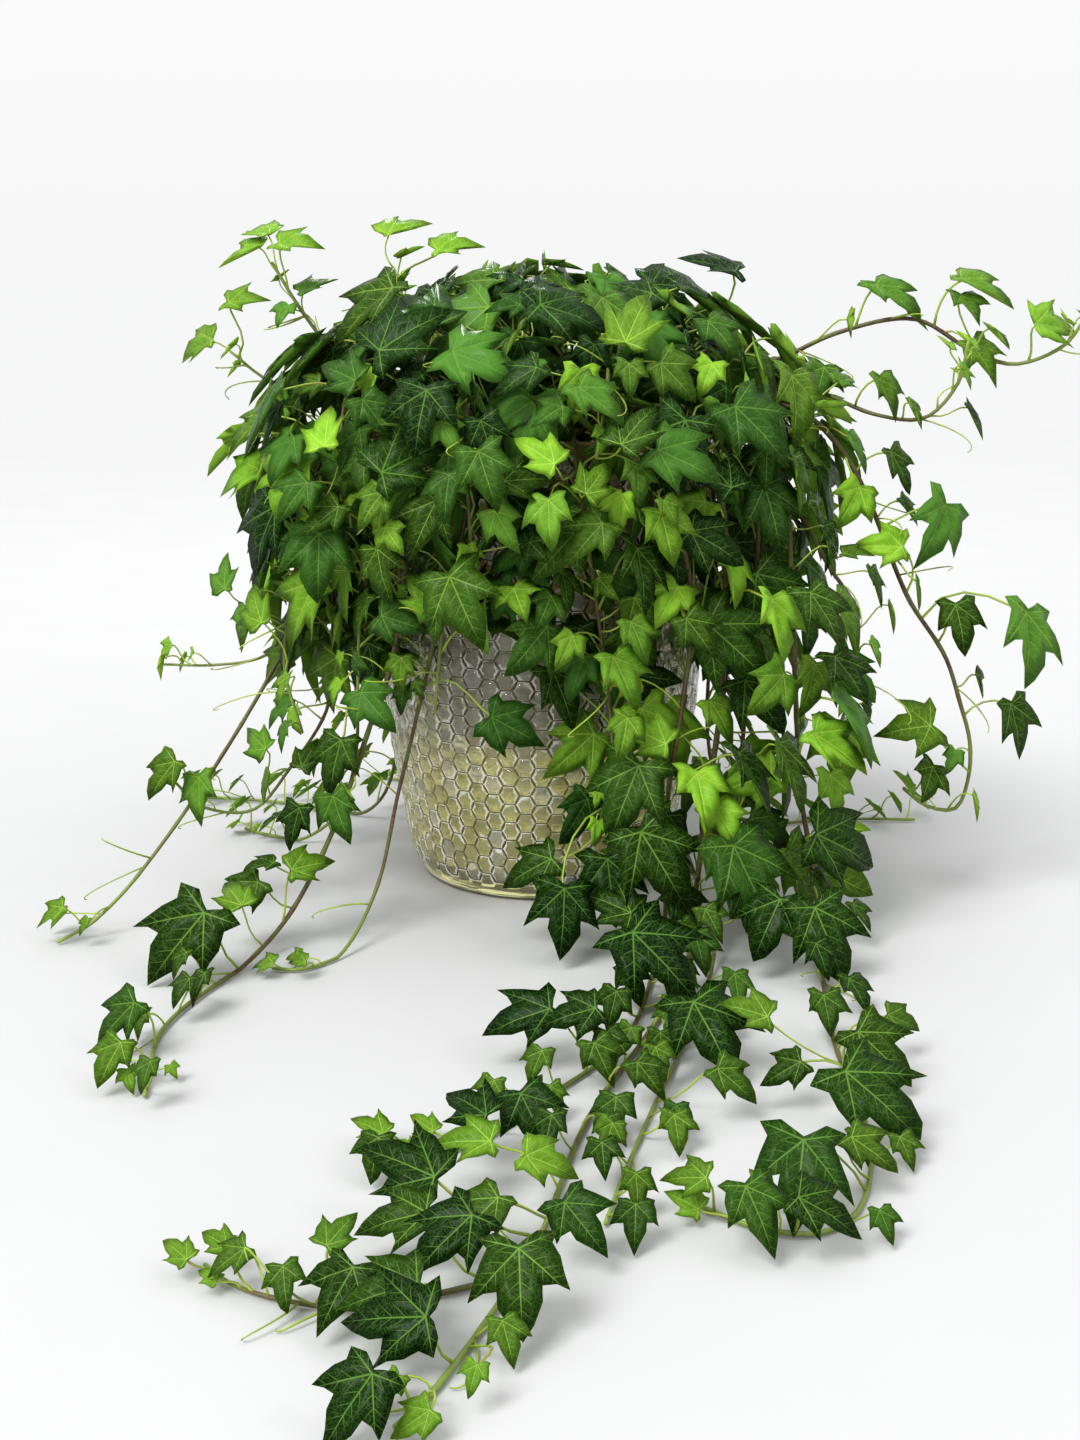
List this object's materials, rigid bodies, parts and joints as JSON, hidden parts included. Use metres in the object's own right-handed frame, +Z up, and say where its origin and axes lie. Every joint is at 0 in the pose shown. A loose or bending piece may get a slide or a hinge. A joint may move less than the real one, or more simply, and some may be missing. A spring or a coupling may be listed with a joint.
{
  "type": "potted ivy",
  "caption": "Trailing ivy with lobed leaves, rooted in a nursery pot that stands inside a tall glass planter with a honeycomb relief.",
  "frame": {"origin": "middle of the planter's flat underside, on the surface the object stands on", "axes": "+Z up along the planter's axis; -Y is the front, where the longest vines trail away along the surface; +X is the viewer's right from the front"},
  "size_m": [0.6279, 0.9485, 0.412],
  "materials": {
    "pressed_glass": "gloss",
    "pot_plastic": "matte",
    "dark_soil": "matte",
    "ivy_green": "satin"
  },
  "bodies": {
    "root": {"back_trail_1": "ivy_green", "back_trail_2": "ivy_green", "back_trail_3": "ivy_green", "back_trail_4": "ivy_green", "back_trail_5": "ivy_green", "back_trail_6": "ivy_green", "crown_stem_1": "ivy_green", "crown_stem_2": "ivy_green", "crown_stem_3": "ivy_green", "crown_stem_4": "ivy_green", "front_centre": "ivy_green", "front_left": "ivy_green", "glass_planter": "pressed_glass", "left_curtain": "ivy_green", "left_inner": "ivy_green", "loop_right": "ivy_green", "nursery_pot": "pot_plastic", "potting_soil": "dark_soil", "runner_left": "ivy_green", "shoot_left_high": "ivy_green", "shoot_left_low": "ivy_green", "shoot_right": "ivy_green", "shoot_top": "ivy_green", "shoulder_stem_1": "ivy_green", "shoulder_stem_2": "ivy_green", "shoulder_stem_3": "ivy_green", "shoulder_stem_4": "ivy_green", "shoulder_stem_5": "ivy_green", "shoulder_stem_6": "ivy_green", "shoulder_stem_7": "ivy_green", "shoulder_stem_8": "ivy_green", "shoulder_stem_9": "ivy_green", "sprig_left_low": "ivy_green", "tangle_right": "ivy_green", "trail_long": "ivy_green", "trail_mid": "ivy_green", "trail_right": "ivy_green", "trail_short": "ivy_green", "vine_left_a": "ivy_green", "vine_left_b": "ivy_green", "vine_left_c": "ivy_green", "vine_right": "ivy_green"}
  },
  "joints": []
}
